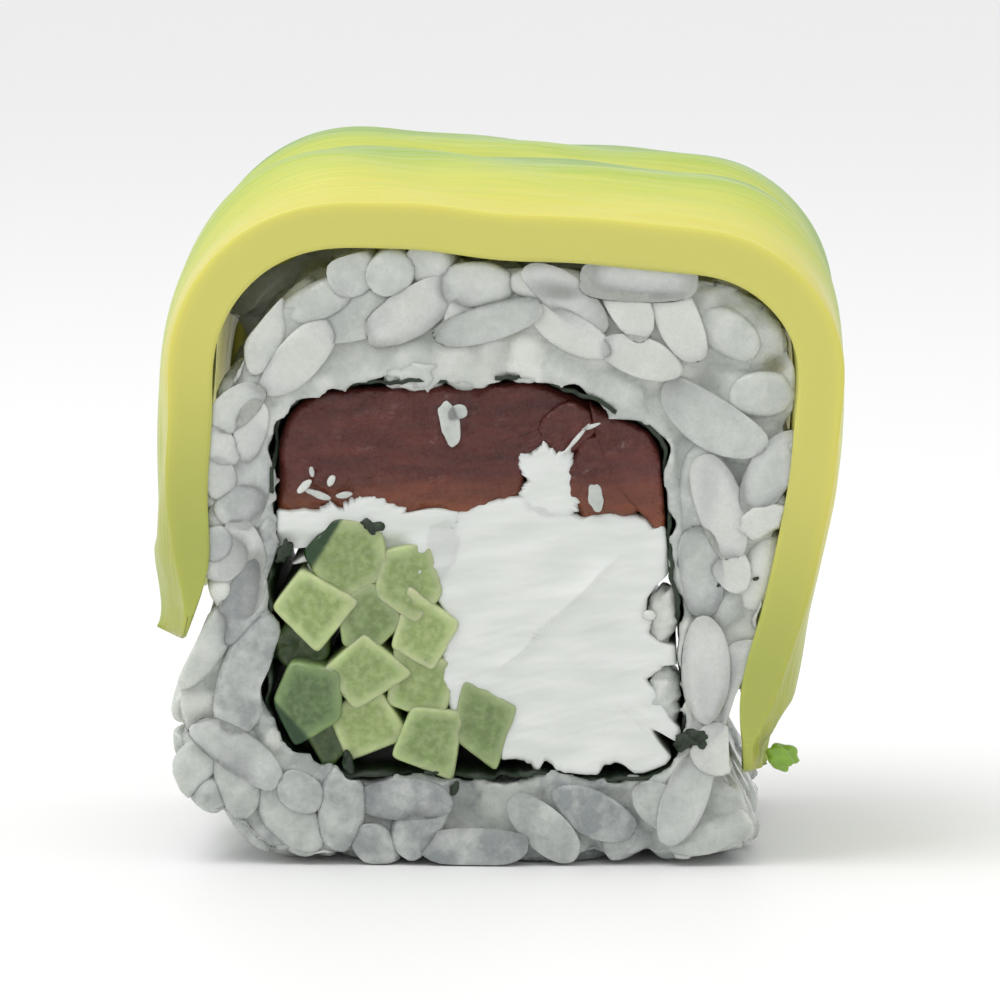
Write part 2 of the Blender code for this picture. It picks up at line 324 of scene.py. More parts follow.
def polar(points):
    """Angle round the core and distance from it."""
    across, up = points[..., 0] - CORE[0], points[..., 2] - CORE[1]
    return np.arctan2(up, across), np.hypot(across, up)


def up_to_nori(centre, angle, reach, near):
    """An outline grown to the nori where it nearly gets there: its reach from its own centre."""
    if not near:
        return reach
    for _ in range(3):
        turn, core_reach = polar(around(centre, reach, angle, 0.0))
        gap = nori_reach(turn) - NORI_THICKNESS - 0.15 - core_reach
        square_on = np.clip(np.cos(turn - angle), 0.3, 1.0)
        reach = reach + gap / square_on * np.where(gap > 0, smooth((near - gap) / 0.7), 1.0)
    return reach


def cut_bar(name, centre, reach, ends, relief, rounding, columns=180, rows=26, walls=3, near=0.0):
    """A bar along the roll with a face at each end: rings that grow from the middle to the outline.

    A face lies behind its end of the roll by relief(points), and its rim turns over like a
    quarter circle. The share of the way to the rim is kept as the attribute rim.
    """
    angle = once_round(columns)
    grown = np.linspace(0.02, 1.0, rows)[:, None] ** 0.75
    out = up_to_nori(centre, angle, reach(angle), near)
    faces = []
    for end in ends:
        spread = around(centre, out * grown, angle, end)
        from_rim = np.clip(1 - out * (1 - grown) / rounding, 0, 1)
        turned = rounding * (1 - np.sqrt(1 - from_rim**2))
        inwards = -np.sign(end)
        spread[..., 1] += inwards * (turned + relief(spread[..., (0, 2)]))
        faces.append(spread)
    steps = np.linspace(0, 1, walls + 2)[1:-1, None, None]
    wall = faces[0][-1] + (faces[1][-1] - faces[0][-1]) * steps
    grid = np.concatenate([faces[0], wall, faces[1][::-1]])
    grown = grown + 0 * angle
    rim = np.concatenate([grown, np.ones((walls, columns)), grown[::-1]])
    return make_skin(name, grid, values={"rim": rim})


def middle_of(node):
    """The middle of a CAD node's box, across and up."""
    low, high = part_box(node)
    return np.array([low.x + high.x, low.z + high.z]) / 2 / MM


fish_finish, tree, shader = new_material(
    "cured fish", 0.30, Specular_IOR_Level=0.3, Coat_Roughness=0.15,
    Subsurface_Weight=0.2, Subsurface_Scale=0.001, Subsurface_Radius=(1.0, 0.35, 0.2),
)
fibre = noise(tree, 0.9, 4.0, stretch=(3.2, 6.0, 0.8), rough=0.6)
clouds = noise(tree, 0.22, 2.0)
dark = ramp(tree, fibre, [(0.25, (0.045, 0.009, 0.008)), (0.75, (0.115, 0.023, 0.016))])
warm = ramp(tree, fibre, [(0.25, (0.12, 0.030, 0.012)), (0.8, (0.30, 0.090, 0.032))])
height = add_node(tree, "SeparateXYZ", {0: add_node(tree, "TexCoord").outputs["Object"]})
low = remap(tree, height.outputs[2], 22.5 * MM, 20.0 * MM, 0.0, 0.9)
colour = mixed(tree, low, dark, warm)
colour = mixed(tree, remap(tree, clouds, 0.55, 0.7, 0.0, 0.35), colour, (0.16, 0.045, 0.036))
grain = noise(tree, 5.0, 3.0)
tree.links.new(remap(tree, grain, 0.45, 0.65, 0.35, 0.05), shader.inputs["Coat Weight"])
relief = add_node(tree, "Math", {0: fibre, 1: grain}, operation="ADD").outputs[0]
dress(tree, shader, colour, relief, 0.10)

for seed, node in enumerate(("fish_wide", "fish_narrow"), start=11):
    centre = middle_of(node)
    cad_reach = reach_of(node, centre)

    def fish_reach(at):
        """The CAD outline, fuller by a third of a millimetre, with slightly uneven edges."""
        soft = np.mean([cad_reach(at + turn) for turn in np.linspace(-0.12, 0.12, 9)], axis=0)
        return soft + 0.34 + 0.08 * ripple(circle(at, 5), 3.0, seed)

    def fish_relief(flat):
        """A low dome with lumps: its distance behind the cut plane."""
        off = np.hypot(*((flat - centre) / (8.0, 4.0)).T).T
        lumps = 0.12 * ripple(flat, 3.4, seed) + 0.06 * ripple(flat, 1.4, seed + 3)
        return 0.16 + 0.55 * off**2 + lumps + 0.03 * ripple(flat, 0.8, seed + 5)

    fish = cut_bar(f"{node}_strip", centre, fish_reach, ENDS, fish_relief, FISH_ROUNDING, near=1.5)
    place(fish, fish_finish, "fish", node)


def bridge_reach(at):
    """A thin cord of fish between the two strips: nearly round."""
    return 1.55 + 0.12 * ripple(circle(at, 2), 2.0, 19)


def bridge_relief(flat):
    """Its face lies a little deeper than those of the strips."""
    return 0.45 + 0.08 * ripple(flat, 1.2, 20)


bridge = cut_bar("fish_bridge", BRIDGE, bridge_reach, ENDS, bridge_relief, 0.4, 96, 16)
place(bridge, fish_finish, "fish")


# ---------------------------------------------------------------- cream cheese
# A bar of cream cheese, squeezed between the fish and the cucumber. The knife smears it over its
# neighbours' edges and leaves a ridge and fine streaks along its stroke.

STREAK_WAY = np.array([0.966, 0.259])  # the way of the smear's streaks: across and up
RIDGE_START, RIDGE_END = np.array([-0.3, 10.7]), np.array([7.5, 18.3])

# Lumps of cheese, each a closed outline round a middle: across, up
CHEESE_LUMPS = {
    "cheese_bar": (
        (3.4, 12.6),
        [
            (0.3, 6.2), (3.0, 5.9), (4.7, 5.5), (6.8, 6.0), (9.0, 5.3), (10.7, 4.5), (10.5, 7.0),
            (8.6, 8.2), (8.6, 10.7), (10.3, 12.2), (8.8, 13.3), (8.5, 15.2), (9.3, 16.4),
            (9.2, 19.0), (8.4, 20.0), (6.6, 20.2), (4.9, 19.9), (3.0, 20.9), (1.2, 21.1),
            (-1.4, 20.5), (-3.9, 19.8), (-4.2, 17.2), (-3.3, 15.3), (-2.6, 13.6), (-3.1, 12.0),
            (-2.7, 9.0), (-1.8, 8.6), (0.4, 8.9), (0.6, 7.6),
        ],
    ),
    "cheese_smear": (
        (-7.6, 18.7),
        [
            (-12.8, 18.0), (-11.9, 16.9), (-10.8, 17.3), (-9.4, 18.3), (-7.2, 17.9), (-6.2, 15.6),
            (-4.4, 14.4), (-2.6, 16.0), (-1.6, 18.0), (-1.8, 20.3), (-5.0, 20.2), (-8.8, 20.3),
            (-9.3, 20.9), (-9.9, 20.3), (-12.6, 19.9),
        ],
    ),
    "cheese_post": (
        (2.9, 21.8),
        [
            (1.5, 20.2), (4.5, 20.1), (4.4, 22.6), (4.3, 23.9), (3.5, 23.6), (2.9, 24.2),
            (2.0, 23.7), (1.3, 23.8), (1.9, 22.0),
        ],
    ),
}


def reach_through(centre, corners):
    """An outline through corners round a centre, as its reach at any angle: a smooth curve by angle."""
    from_centre = np.array(corners) - centre
    angle = np.arctan2(from_centre[:, 1], from_centre[:, 0])
    order = np.argsort(angle)
    angle, reach = angle[order], np.hypot(*from_centre[order].T)
    dense = np.linspace(-math.pi, math.pi, 720, endpoint=False)
    line = np.interp(dense, angle, reach, period=TURN)
    kernel = np.hanning(11) / np.hanning(11).sum()
    soft = np.convolve(np.concatenate([line[-5:], line, line[:5]]), kernel, "valid")
    return lambda at: np.interp(at, dense, soft, period=TURN)


cheese_finish, tree, shader = new_material(
    "cream cheese", 0.42,
    Subsurface_Weight=0.35, Subsurface_Scale=0.0015, Subsurface_Radius=(1.0, 0.9, 0.75),
)
streak = noise(tree, 1.3, 3.0, stretch=(5, 1, 1), rough=0.5)
colour = ramp(tree, streak, [(0.3, (0.64, 0.67, 0.63)), (0.7, (0.72, 0.74, 0.71))])
dress(tree, shader, colour, streak, 0.03)


def cheese_relief(flat):
    """The smeared face: long faint streaks, soft lumps, and one sharp ridge with a slope above it."""
    side = np.array([-STREAK_WAY[1], STREAK_WAY[0]])
    along, off = flat @ STREAK_WAY, flat @ side
    streaks = ripple(np.stack([along / 9, off], axis=-1), 1.9, 31)
    fine = ripple(np.stack([along / 12, off], axis=-1), 0.6, 32)
    span = RIDGE_END - RIDGE_START
    way = span / np.linalg.norm(span)
    run = (flat - RIDGE_START) @ way
    above = (flat - RIDGE_START) @ np.array([-way[1], way[0]]) - 0.12 * ripple(run[..., None], 4.0, 33)
    on_line = smooth(run / 2.0) * smooth((np.linalg.norm(span) - run) / 2.5)
    slope = np.where(above > 0, np.exp(-np.abs(above) / 1.4), np.exp(-np.abs(above) / 0.18))
    lumps = ripple(flat, 4.5, 34)
    behind_sticks = 0.5 * smooth((-4.2 - flat[..., 0]) / 1.5) * smooth((19.3 - flat[..., 1]) / 1.0)
    face = 0.26 + 0.035 * streaks + 0.012 * fine + 0.07 * lumps - 0.30 * slope * on_line
    return face + behind_sticks


for seed, (name, (centre, corners)) in enumerate(CHEESE_LUMPS.items(), start=41):
    smooth_reach = reach_through(centre, corners)

    def ragged_reach(at):
        """The outline with a torn edge."""
        ring = circle(at, 6)
        return smooth_reach(at) + 0.09 * ripple(ring, 1.3, seed) + 0.04 * ripple(ring, 0.5, seed + 7)

    largest = name == "cheese_bar"
    detail = (420, 60) if largest else (240, 36)
    centre = np.array(centre)
    lump = cut_bar(name, centre, ragged_reach, ENDS, cheese_relief, 0.45, *detail, near=0.7)
    place(lump, cheese_finish, "cream_cheese", *(["cream_cheese"] if largest else []))


# ---------------------------------------------------------------- cucumber
# A bundle of raw cucumber sticks, cut as julienne of about three millimetres. Their ends are wet,
# watery green faces with paler cut rims, and some sticks keep a dark strip of skin.

STICK_FULLER = 1.38  # the sticks swell until they touch: their size next to the CAD sticks
CORNER_SHARPNESS = 12
SKIN_SIDES = {1: 2.6, 6: 3.4, 9: 3.9, 13: 1.2}  # sticks with skin, and the angle that it faces
DARK_STICKS = (6, 9, 13)

cucumber_finish, tree, shader = new_material(
    "cucumber flesh", 0.28,
    Subsurface_Weight=0.55, Subsurface_Scale=0.0018, Subsurface_Radius=(0.6, 1.0, 0.3),
)
rim, tone, peel = (attribute(tree, key) for key in ("rim", "tone", "skin"))
cells = noise(tree, 2.5, 3.0)
deep = mixed(tree, tone, (0.05, 0.10, 0.035), (0.27, 0.36, 0.12))
pale = mixed(tree, tone, (0.15, 0.23, 0.09), (0.50, 0.58, 0.30))
edge = remap(tree, rim, 0.6, 0.97, 0.0, 1.0)
cloudy = remap(tree, cells, 0.4, 0.7, 0.0, 0.5)
colour = mixed(tree, edge, mixed(tree, cloudy, deep, pale), pale)
colour = mixed(tree, peel, colour, (0.012, 0.045, 0.010))
dress(tree, shader, colour, cells, 0.08)

stick_nodes = sorted(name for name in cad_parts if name.startswith("cucumber_stick"))
chance = np.random.default_rng(7)
for number, node in enumerate(stick_nodes, start=1):
    centre = middle_of(node)
    low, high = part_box(node)
    radius = ((high - low).x + (high - low).z) / 4 / MM * STICK_FULLER
    sides = chance.integers(4, 6)
    facing = TURN * (np.arange(sides) + chance.uniform(-0.2, 0.2, sides) + chance.uniform()) / sides
    away = radius * chance.uniform(0.82, 1.02, sides)
    tilt = chance.uniform(-0.07, 0.07, 2)
    tint = chance.uniform(0.0, 0.2) if number in DARK_STICKS else chance.uniform(0.45, 1.0)

    def stick_reach(at):
        """A polygon of knife cuts: the smallest reach to any side, as a high-power mean."""
        toward = np.clip(np.cos(at[..., None] - facing), 0, None) / away
        return (toward**CORNER_SHARPNESS).sum(axis=-1) ** (-1 / CORNER_SHARPNESS)

    def stick_relief(flat):
        """A face that is cut a little askew, sunk in the middle."""
        off = flat - centre
        sunk = 0.04 * np.cos(2 * np.hypot(*off.T).T)
        return 0.10 + off @ tilt + 0.05 * ripple(flat, 1.2, 80 + number) + sunk

    ends = (low.y / MM, high.y / MM)
    stick = cut_bar(node + "_flesh", centre, stick_reach, ends, stick_relief, 0.22, 96, 14, 4)
    peeled = SKIN_SIDES.get(number, 0)
    toward_peel = (corners_of(stick.data)[:, (0, 2)] / MM - centre) @ circle(peeled, 1)
    set_values(stick.data, "skin", smooth((toward_peel - 1.25) / 0.25) * (number in SKIN_SIDES))
    set_values(stick.data, "tone", np.full(len(toward_peel), tint))
    place(stick, cucumber_finish, "cucumber", node)


# ---------------------------------------------------------------- rice
# Cooked short-grain rice, pressed on to the nori until its moist grains stick together. Real
# grains lie over a core of starch, the knife and the mat flatten them, and all of them are then
# fused into one skin, because light passes from grain to grain where they touch.

GRAIN_COUNT = 560
GRAIN_HALF_SIZES = np.array([3.1, 1.38, 1.22])
BALL = 1.2  # the radius of the three balls that stand for a grain while it settles
ROUNDS_OF_SETTLING, PUSH_SHARE = 70, 0.42
READ_TURNS, READ_SLOTS = 120, 14
GRAIN_COLUMNS, GRAIN_ROWS = 20, 13
BIT_COLUMNS, BIT_ROWS = 20, 14
FLECK_DEPTH = 0.32
VOXEL = 0.29

# Grains that lie in the front cut face in places of their own: across, up, lean in degrees,
# the shares of the full length and width, and the tone, which is low on the lowest grains as painted
# shade
FRONT_GRAINS = [
    (-14.5, 23.2, 56, 1.05, 1.0, 0.6), (-13.6, 20.6, 12, 0.75, 1.1, 0.3),
    (-12.9, 30.2, 76, 0.75, 0.9, 0.6), (-9.6, 32.2, 24, 0.8, 0.85, 0.5),
    (-1.2, 32.9, 2, 0.75, 1.1, 0.6), (3.4, 33.0, -6, 0.85, 0.8, 0.7),
    (13.0, 30.4, 152, 0.7, 0.95, 0.5), (15.0, 26.9, 4, 0.65, 0.95, 0.5),
    (-13.7, 16.0, 62, 1.25, 1.2, 0.1), (-14.0, 10.9, 72, 1.25, 1.3, 0.1),
    (-16.2, 12.6, 57, 0.95, 0.85, 0.5), (-17.0, 5.8, 48, 0.85, 0.9, 0.4),
    (-14.6, 5.6, 96, 0.95, 1.05, 0.3), (-11.7, 2.7, 128, 0.85, 1.05, 0.3),
    (-8.7, 3.4, 84, 0.85, 1.15, 0.1), (-4.2, 2.6, 62, 0.8, 1.1, 0.0),
    (11.6, 21.4, 80, 1.05, 1.0, 0.3), (12.1, 10.4, 96, 1.0, 0.9, 0.5),
]


def read_rice():
    """The outer and inner reach of the CAD rice, by rays from far outside and from the middle."""
    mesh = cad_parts["rice"].data
    corners = [v.co / MM for v in mesh.vertices]
    tree = BVHTree.FromPolygons(corners, [tuple(face.vertices) for face in mesh.polygons])
    outer, inner = np.zeros((READ_TURNS, READ_SLOTS)), np.zeros(READ_TURNS)
    for i, turn in enumerate(once_round(READ_TURNS)[0]):
        way = Vector((math.cos(turn), 0, math.sin(turn)))
        inner[i] = tree.ray_cast(Vector((CORE[0], 0, CORE[1])), way)[3]
        for j, along in enumerate(np.linspace(FRONT + 0.3, BACK - 0.3, READ_SLOTS)):
            middle = Vector((CORE[0], along, CORE[1]))
            outer[i, j] = 60 - tree.ray_cast(middle + 60 * way, -way)[3]
    return outer, inner


rice_outer, rice_inner = read_rice()


def swell(angle, along):
    """How far the rice fills the room under the slices: most in the two upper corners, deep in."""
    under = smooth((np.cos(angle - 1.45) + 0.35) / 0.3)
    left, right = (
        np.exp(-((((angle - corner + math.pi) % TURN - math.pi) / 0.27) ** 2))
        for corner in (2.23, 0.79)
    )
    deep = smooth((along - FRONT - 6.0) / 1.5)
    shallow = smooth((along - FRONT - 1.0) / 3.0)
    return 1.0 * under * (1 - left * (1 - deep)) + 1.7 * left * deep + (0.6 + 1.0 * shallow) * right


def rice_reach(angle, along):
    """The outer reach of the rice: interpolated between the places where it was read, and swelled."""
    a = (angle / TURN * READ_TURNS) % READ_TURNS
    b = np.clip((along - FRONT) / (BACK - FRONT) * (READ_SLOTS - 1), 0, READ_SLOTS - 1.001)
    i, j = a.astype(int) % READ_TURNS, b.astype(int)
    u, v, after = a - np.floor(a), b - j, (i + 1) % READ_TURNS
    near = rice_outer[i, j] * (1 - v) + rice_outer[i, j + 1] * v
    far = rice_outer[after, j] * (1 - v) + rice_outer[after, j + 1] * v
    return near * (1 - u) + far * u + swell(angle, along)


def rice_hole(angle, along=0.0):
    """The inner reach: the nori's, less a ragged lip that the knife drags over it at each cut."""
    nori = np.interp(angle, np.arange(READ_TURNS) * TURN / READ_TURNS, rice_inner, period=TURN)
    ring = circle(angle, 9)
    ragged = 0.62 + 0.42 * ripple(ring, 3.2, 21) + 0.28 * ripple(ring, 1.1, 22)
    from_cut = np.minimum(along - FRONT, BACK - along)
    return nori - np.clip(ragged, 0.0, 1.6) * smooth(1.6 - from_cut / 1.0)


def settle(chance):
    """Grains as chains of three balls, pushed apart and into the ring until they barely touch."""
    fixed = len(FRONT_GRAINS)
    angle = chance.uniform(0, TURN, GRAIN_COUNT)
    along = chance.uniform(FRONT - 1.0, BACK + 1.0, GRAIN_COUNT)
    inner, outer = rice_hole(angle) + BALL, rice_reach(angle, along) - BALL
    reach = np.sqrt(inner**2 + chance.uniform(0, 1, GRAIN_COUNT) * (outer**2 - inner**2))
    centre = around(CORE, reach, angle, along)
    axis = chance.normal(size=(GRAIN_COUNT, 3))
    outwards = np.stack([np.cos(angle), 0 * angle, np.sin(angle)], axis=-1)
    axis -= 0.7 * (axis * outwards).sum(axis=1, keepdims=True) * outwards
    size = chance.uniform(0.84, 1.12, (GRAIN_COUNT, 3))
    given = np.array(FRONT_GRAINS)
    lean = np.radians(given[:, 2])
    centre[:fixed] = np.stack([given[:, 0], FRONT + 0.8 + 0 * lean, given[:, 1]], axis=1)
    axis[:fixed] = np.stack([np.cos(lean), 0.08 + 0 * lean, np.sin(lean)], axis=1)
    size[:fixed] = given[:, (3, 4, 4)]
    axis /= np.linalg.norm(axis, axis=1, keepdims=True)
    spread = (GRAIN_HALF_SIZES[0] * size[:, 0] - BALL)[:, None]
    kept_centre, kept_axis = centre[:fixed].copy(), axis[:fixed].copy()
    ball = np.tile(BALL * size[:, 1], 3)
    owner = np.tile(np.arange(GRAIN_COUNT), 3)
    apart = owner[:, None] != owner[None]
    for _ in range(ROUNDS_OF_SETTLING):
        balls = np.concatenate([centre - spread * axis, centre, centre + spread * axis])
        square = (balls**2).sum(axis=1)
        far = square[:, None] + square[None] - 2 * balls @ balls.T
        close = (far < (ball[:, None] + ball[None]) ** 2) & apart
        one, two = np.nonzero(close)
        gap = balls[one] - balls[two]
        distance = np.linalg.norm(gap, axis=1, keepdims=True) + 1e-9
        push = np.zeros_like(balls)
        np.add.at(push, one, gap / distance * (ball[one] + ball[two])[:, None] / 2 - gap / 2)
        balls = balls + PUSH_SHARE * push
        angle, reach = polar(balls)
        balls[:, 1] = np.clip(balls[:, 1], FRONT - 0.9, BACK + 0.9)
        nearest, farthest = rice_hole(angle) + 0.9 * ball, rice_reach(angle, balls[:, 1]) - 0.8 * ball
        balls = around(CORE, np.clip(reach, nearest, farthest), angle, balls[:, 1])
        balls[:, 2] = np.maximum(balls[:, 2], 0.85 * ball)
        first, middle, last = np.split(balls, 3)
        centre = (first + middle + last) / 3
        axis = last - first
        axis /= np.linalg.norm(axis, axis=1, keepdims=True)
        centre[:fixed], axis[:fixed] = kept_centre, kept_axis
    return centre, axis, size


def soft_floor(depth, softness):
    """A depth kept above 0: far above it is unchanged, and below it lands just above 0."""
    scaled = np.clip(depth / softness, -40, 40)
    return np.where(depth > 20 * softness, depth, softness * np.log1p(np.exp(scaled)))


def shape_grains(centre, axis, half, chance, columns, rows):
    """All the grains' surfaces at once: plump, slightly bent and dented ovals.

    An oval runs along its axis as minus a cosine, and its width is the sine to the power 0.8.
    """
    count = len(centre)
    along = np.linspace(0, math.pi, rows + 2)[1:-1, None]
    turn = once_round(columns)
    width = np.sin(along) ** 0.8
    unit = [-np.cos(along), width * np.cos(turn), width * np.sin(turn)]
    unit = np.stack(np.broadcast_arrays(*unit), axis=-1).reshape(-1, 3)
    unit = np.concatenate([unit, [(-1, 0, 0), (1, 0, 0)]])
    second = np.cross(axis, chance.normal(size=(count, 3)))
    second /= np.linalg.norm(second, axis=1, keepdims=True)
    third = np.cross(axis, second)
    local = unit[None] * half[:, None]
    local[..., 1] += chance.uniform(-0.05, 0.05, (count, 1)) * local[..., 0] ** 2
    dent = chance.uniform(0, 100, (count, 1, 3))
    local *= 1 + 0.035 * ripple(unit[None] * 1.6 + dent, 2.2, 91)[..., None]
    frames = np.stack([axis, second, third], axis=1)
    return centre[:, None] + np.einsum("nvk,nkc->nvc", local, frames)


def grain_faces(count, columns, rows):
    """The faces of many grains: quads round each oval and a fan at each of its tips."""
    per_grain = columns * rows + 2
    quads = skin_faces(rows, columns, wrap=False)
    column = np.arange(columns)
    after, last = (column + 1) % columns, (rows - 1) * columns
    low_tip = np.stack([after, column, np.full(columns, per_grain - 2)], axis=1)
    high_tip = np.stack([last + column, last + after, np.full(columns, per_grain - 1)], axis=1)
    start = (np.arange(count) * per_grain)[:, None, None]
    fans = np.concatenate([low_tip, high_tip])
    return [(start + quads[None]).reshape(-1, 4), (start + fans[None]).reshape(-1, 3)]


def press_grains(points, centre, chance):
    """The grains pressed flat: by the nori inside, the mat outside, the board and the knife."""
    count = len(centre)
    angle, reach = polar(points)
    skin = rice_reach(angle, points[..., 1])
    reach = skin - soft_floor(skin - reach, 0.10)
    hole = rice_hole(angle, points[..., 1])
    reach = hole + soft_floor(reach - hole, 0.10)
    points = around(CORE, reach, angle, points[..., 1])
    points[..., 2] = 0.02 + soft_floor(points[..., 2] - 0.02, 0.10)
    for end in (FRONT, BACK):
        inwards = -np.sign(end)
        off = (points - centre[:, None])[..., (0, 2)]
        lean = np.einsum("nvk,nk->nv", off, chance.normal(0, 0.05, (count, 2)))
        plane = chance.uniform(0.02, 0.30, (count, 1)) + np.clip(lean, -0.2, 0.25)
        depth = (points[..., 1] - end) * inwards - plane
        points[..., 1] = end + inwards * np.maximum(plane + soft_floor(depth, 0.30) - 0.1, 0.01)
    return points


CORE_DEPTH = 0.5  # how far under the grains' surface the starch core lies


def core_face(end):
    """A cut face of the core: a little behind the knife's plane, nearer to it round the nori."""
    angle = once_round(360)
    share = np.linspace(0, 1, 40)[:, None]
    inner = rice_hole(angle, end) + 0.05
    out = rice_reach(angle, np.full_like(angle, end)) - CORE_DEPTH
    flat = around(CORE, inner + (out - inner) * share, angle, end)
    across_up = flat[..., (0, 2)]
    mush = np.exp(-share * (out - inner) / 2.2) * smooth((flat[..., 2] - 8.0) / 10.0)
    pits = 0.55 - 0.36 * mush + 0.12 * ripple(across_up, 2.2, 71) + 0.05 * ripple(across_up, 0.9, 72)
    flat[..., 1] -= np.sign(end) * np.clip(pits, 0.10, 2.0)
    return flat


def make_core():
    """The starch core as a grid: the front face, the outside, the back face and the inside."""
    angle = once_round(360)
    spots = np.linspace(FRONT + 0.9, BACK - 0.9, 60)[:, None] + 0 * angle
    outside = around(CORE, rice_reach(angle + 0 * spots, spots) - CORE_DEPTH, angle, spots)
    inside_spots = spots[::-2]
    inside = around(CORE, rice_hole(angle, inside_spots) + 0.05, angle, inside_spots)
    grid = np.concatenate([core_face(FRONT), outside, core_face(BACK)[::-1], inside])
    grid[..., 2] = np.maximum(grid[..., 2], 0.3)
    return grid.reshape(-1, 3), skin_faces(*grid.shape[:2], wrap=True)


def edges_of(quads):
    """The four edges of each quad, as pairs of corners."""
    return np.concatenate([quads[:, (k, (k + 1) % 4)] for k in range(4)])


def relax(points, quads):
    """The corners moved half way to the mean of their neighbours along the quads' edges."""
    edges = edges_of(quads)
    total = np.empty_like(points)
    for k in range(3):
        total[:, k] = np.bincount(edges[:, 0], points[edges[:, 1], k], len(points))
        total[:, k] += np.bincount(edges[:, 1], points[edges[:, 0], k], len(points))
    count = np.bincount(edges.ravel(), minlength=len(points))[:, None]
    return points * 0.5 + total / count * 0.5


def fuse(points, faces):
    """One closed skin round overlapping solids: a voxel remesh, its largest part, smoothed once."""
    mesh = bpy.data.meshes.new("loose")
    mesh.from_pydata(points, [], [row for group in faces for row in group.tolist()])
    loose = link("loose", mesh)
    remesh = loose.modifiers.new("fuse", "REMESH")
    remesh.mode = "VOXEL"
    remesh.voxel_size = VOXEL
    remesh.adaptivity = 0.0
    skin = loose.evaluated_get(bpy.context.evaluated_depsgraph_get()).to_mesh()
    points = corners_of(skin)
    quads = np.empty(len(skin.loops), np.int32)
    skin.loops.foreach_get("vertex_index", quads)
    quads = quads.reshape(-1, 4)
    bpy.data.objects.remove(loose)
    edges = edges_of(quads)
    part = np.arange(len(points))
    while True:
        lowest = np.minimum(part[edges[:, 0]], part[edges[:, 1]])
        found = part.copy()
        np.minimum.at(found, edges[:, 0], lowest)
        np.minimum.at(found, edges[:, 1], lowest)
        found = found[found]
        if (found == part).all():
            break
        part = found
    kept = part == np.bincount(part).argmax()
    fresh = np.cumsum(kept) - 1
    points, quads = points[kept], fresh[quads[kept[quads[:, 0]]]]
    return relax(points, quads), quads


SEAM_WIDTH, SEAM_DEPTH = 0.70, 0.32
SHARE_OF_WHOLE_GRAINS = 0.7

# Pits between the grains, painted yellowish and darker as a painted reflection of the avocado and
# painted shade: across, up, radius
PAINTED_PITS = [(6.6, 33.1, 0.45), (11.0, 30.4, 0.7), (15.8, 28.4, 0.6), (14.0, 10.4, 0.5)]

chance = np.random.default_rng(20)
centres, axes, sizes = settle(chance)
half = sizes * GRAIN_HALF_SIZES
grains = shape_grains(centres, axes, half, chance, GRAIN_COLUMNS, GRAIN_ROWS)
grains = press_grains(grains, centres, chance)
core_points, core_quads = make_core()
loose_faces = grain_faces(len(grains), GRAIN_COLUMNS, GRAIN_ROWS)
loose_faces.append(core_quads + grains.shape[0] * grains.shape[1])
rice_points, rice_quads = fuse(np.concatenate([grains.reshape(-1, 3), core_points]), loose_faces)


def corner_normals(points, quads):
    """Unit normals at the corners: the sums of the normals of the quads round each."""
    first, second, third, fourth = (points[quads[:, k]] for k in range(4))
    across = np.cross(third - first, fourth - second)
    total = np.zeros_like(points)
    for corner in range(4):
        for k in range(3):
            total[:, k] += np.bincount(quads[:, corner], across[:, k], len(points))
    total /= np.linalg.norm(total, axis=1, keepdims=True) + 1e-12
    inwards = (across * (first - points.mean(axis=0))).sum() < 0
    return -total if inwards else total


def two_nearest(points):
    """Each point's nearest grain, and its distances from that grain's spine and the next one's."""
    shares = np.linspace(-1, 1, 9)
    spines = np.concatenate([centres + share * axes * sizes[:, :1] * 2.3 for share in shares])
    tree = KDTree(len(spines))
    for i, point in enumerate(spines):
        tree.insert(point, i)
    tree.balance()
    owner = np.zeros(len(points), int)
    distance = np.zeros((len(points), 2))
    for row, point in enumerate(points):
        found = tree.find_n(point, 14)
        first = found[0][1] % len(centres)
        owner[row] = first
        distance[row] = found[0][2], found[-1][2]
        for _, i, away in found:
            if i % len(centres) != first:
                distance[row, 1] = away
                break
    return owner, distance


# Each place takes the tone of its nearest grain, and sinks along the seams between two grains, which are
# painted darker as shade.
# Low grains are painted darker as shade, and near the nori the knife has wiped them flat
grain_tones_and_low_shade = chance.uniform(0.35, 1.0, len(centres)) - 0.55 * smooth((9.0 - centres[:, 2]) / 7.0)
grain_tones_and_low_shade[: len(FRONT_GRAINS)] = np.array(FRONT_GRAINS)[:, 5]
grain_levels = chance.uniform(0.0, 0.16, len(centres))
owner, spine_distance = two_nearest(rice_points)
seam = np.exp(-(((spine_distance[:, 1] - spine_distance[:, 0]) / SEAM_WIDTH) ** 2))
angle, reach = polar(rice_points)
from_nori = reach - rice_hole(angle)
wiped = np.exp(-np.clip(from_nori, 0, None) / 1.1) * smooth((rice_points[:, 2] - 21.0) / 6.0)
inside = smooth(from_nori / 0.5)
sink = SEAM_DEPTH * seam + 0.12 * (spine_distance[:, 0] / 1.3) ** 2 + grain_levels[owner]
sink = np.clip(sink, 0, 1.1) * inside * (1 - 0.85 * wiped)
rice_points -= sink[:, None] * corner_normals(rice_points, rice_quads)
rice_points = relax(rice_points, rice_quads)
rice_points[:, 2] = np.maximum(rice_points[:, 2], 0.02)
pit_reflection_and_shade = np.zeros(len(rice_points))
for across, up, radius in PAINTED_PITS:
    off = np.hypot(rice_points[:, 0] - across, rice_points[:, 2] - up) / radius
    near = np.exp(-(off**2)) * (rice_points[:, 1] < FRONT + 2.5)
    rice_points[:, 1] += 0.6 * near
    pit_reflection_and_shade = np.maximum(pit_reflection_and_shade, 0.7 * near)
values = {"tone": grain_tones_and_low_shade[owner], "seam_shade": seam * inside * (1 - wiped), "pit_reflection_and_shade": pit_reflection_and_shade}

